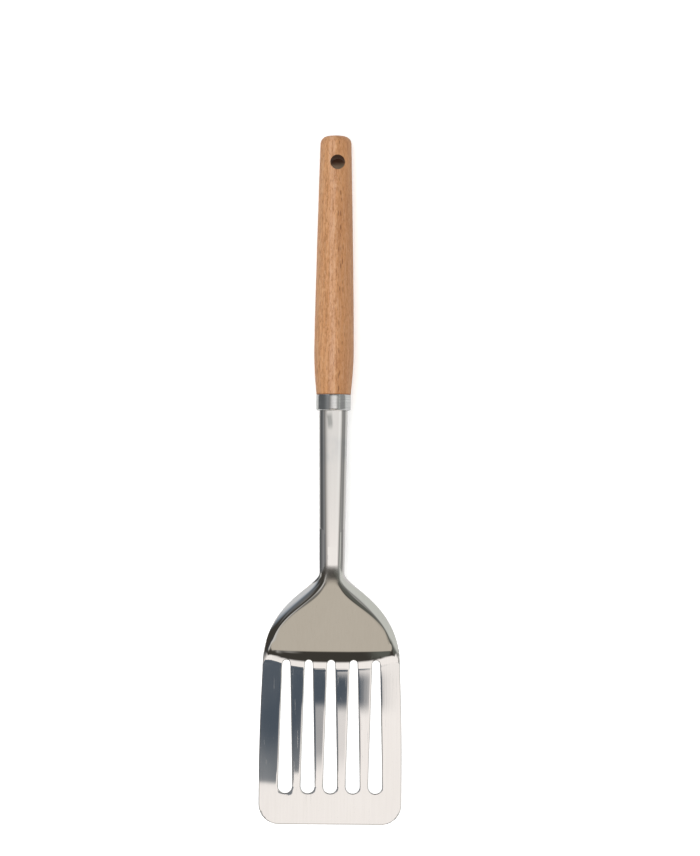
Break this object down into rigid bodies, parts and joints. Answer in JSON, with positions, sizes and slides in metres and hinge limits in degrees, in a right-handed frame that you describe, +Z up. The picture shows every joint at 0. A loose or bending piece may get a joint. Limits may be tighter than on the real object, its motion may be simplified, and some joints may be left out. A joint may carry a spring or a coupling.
{
  "type": "kitchen turner",
  "caption": "Slotted kitchen turner: a one-piece pressed steel blade, fan and channel shank set in a turned beech handle with a steel ferrule and a hang hole.",
  "frame": {"origin": "middle of the footprint, on the surface that the turner lies on, face up", "axes": "+Y from the blade to the handle's butt, +X across the blade, +Z up out of the seen face"},
  "size_m": [0.0748, 0.36, 0.0223],
  "materials": {
    "pressed_steel": "satin polished stainless sheet with fine lengthwise lines and a bright cut edge",
    "ferrule_steel": "drawn stainless cup with fine turning lines round it",
    "beech": "oiled beech, lengthwise grain with short dark flecks",
    "glue": "cured two-part glue"
  },
  "bodies": {
    "root": {"slotted_head": "pressed_steel", "ferrule": "ferrule_steel", "handle": "beech", "tang_glue": "glue"}
  },
  "joints": []
}
